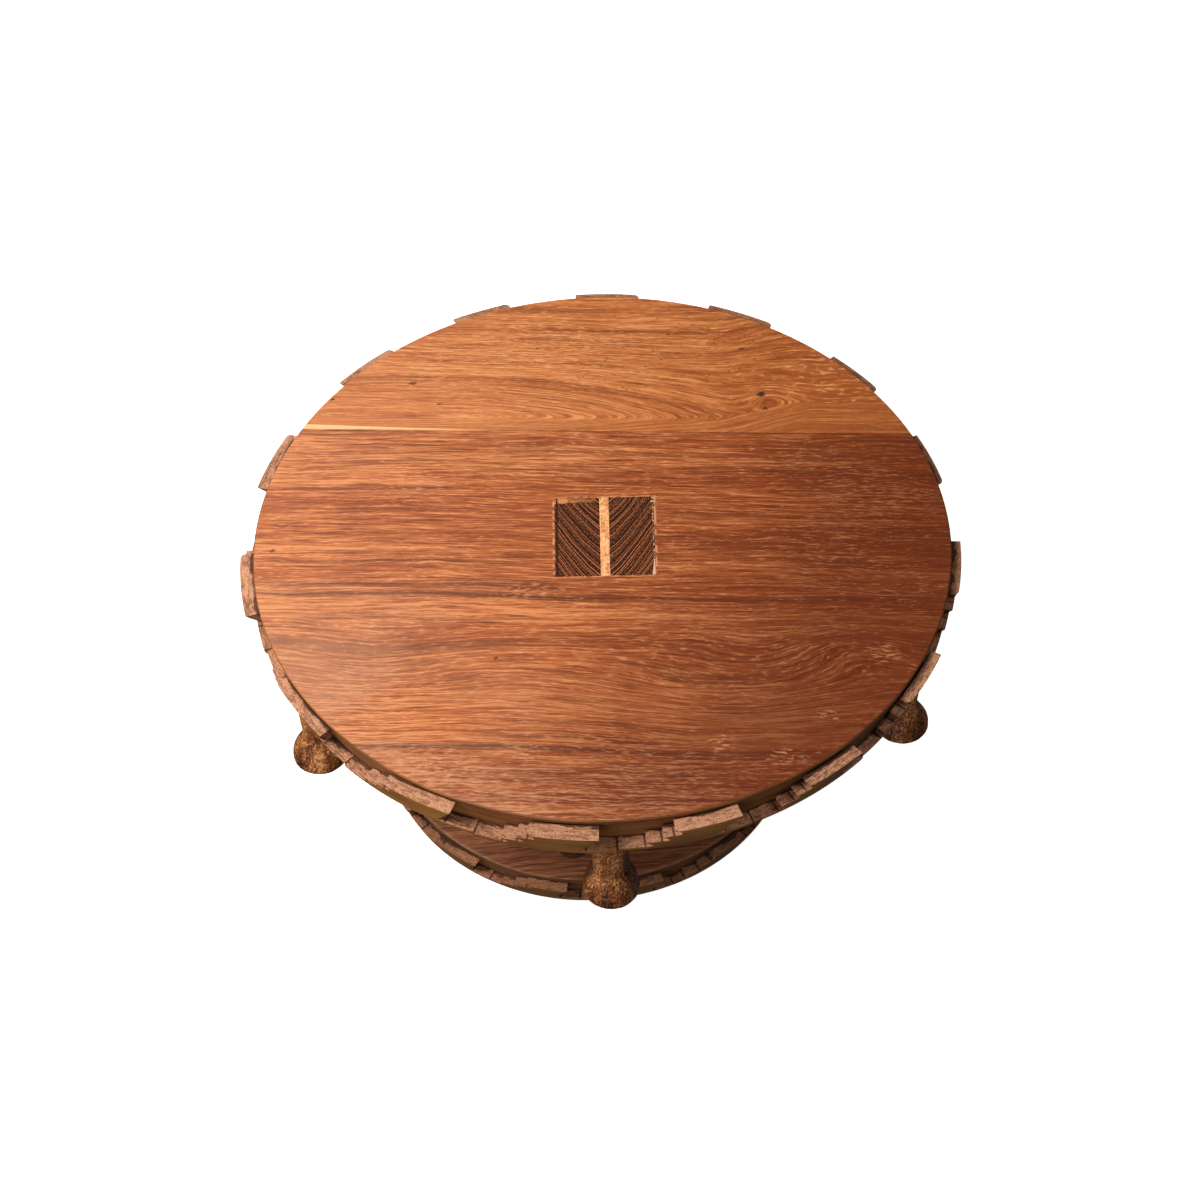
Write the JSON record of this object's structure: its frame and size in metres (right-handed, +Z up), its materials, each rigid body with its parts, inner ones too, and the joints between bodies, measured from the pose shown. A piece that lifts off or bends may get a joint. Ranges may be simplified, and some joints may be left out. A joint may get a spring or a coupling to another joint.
{
  "type": "drinks table",
  "caption": "Low round drinks table: disc top with a stepped applied rim and hanging turned pendants, on a wedged square post and a smaller stepped-rim base with short feet.",
  "frame": {"origin": "floor level, on the upright axis through the middle of the round top", "axes": "+Z up, -Y towards the side the picture shows, +X to the right seen from that side"},
  "size_m": [0.6178, 0.6213, 0.3],
  "materials": {
    "top_boards": "oiled, worn satin",
    "rim_pieces": "oiled faces, sawn tops",
    "post": "oiled",
    "wedges": "sawn",
    "pendants": "turned, coarse pores",
    "base_boards": "oiled, satin",
    "feet": "turned",
    "dowels": "plain"
  },
  "bodies": {
    "root": {"base_board_back": "base_boards", "base_board_dowels": "dowels", "base_board_front": "base_boards", "base_rim_segment_01": "rim_pieces", "base_rim_segment_02": "rim_pieces", "base_rim_segment_03": "rim_pieces", "base_rim_segment_04": "rim_pieces", "base_rim_segment_05": "rim_pieces", "base_rim_segment_06": "rim_pieces", "base_rim_segment_07": "rim_pieces", "base_rim_segment_08": "rim_pieces", "base_rim_segment_09": "rim_pieces", "base_rim_segment_10": "rim_pieces", "base_rim_segment_11": "rim_pieces", "base_rim_segment_12": "rim_pieces", "base_rim_segment_13": "rim_pieces", "base_rim_segment_14": "rim_pieces", "base_wedge": "wedges", "foot_01": "feet", "foot_02": "feet", "foot_03": "feet", "foot_04": "feet", "foot_05": "feet", "foot_06": "feet", "pendant_01": "pendants", "pendant_02": "pendants", "pendant_03": "pendants", "pendant_04": "pendants", "pendant_05": "pendants", "pendant_06": "pendants", "post": "post", "top_board_back": "top_boards", "top_board_dowels": "dowels", "top_board_front": "top_boards", "top_rim_segment_01": "rim_pieces", "top_rim_segment_02": "rim_pieces", "top_rim_segment_03": "rim_pieces", "top_rim_segment_04": "rim_pieces", "top_rim_segment_05": "rim_pieces", "top_rim_segment_06": "rim_pieces", "top_rim_segment_07": "rim_pieces", "top_rim_segment_08": "rim_pieces", "top_rim_segment_09": "rim_pieces", "top_rim_segment_10": "rim_pieces", "top_rim_segment_11": "rim_pieces", "top_rim_segment_12": "rim_pieces", "top_rim_segment_13": "rim_pieces", "top_rim_segment_14": "rim_pieces", "top_rim_segment_15": "rim_pieces", "top_wedge": "wedges"}
  },
  "joints": []
}
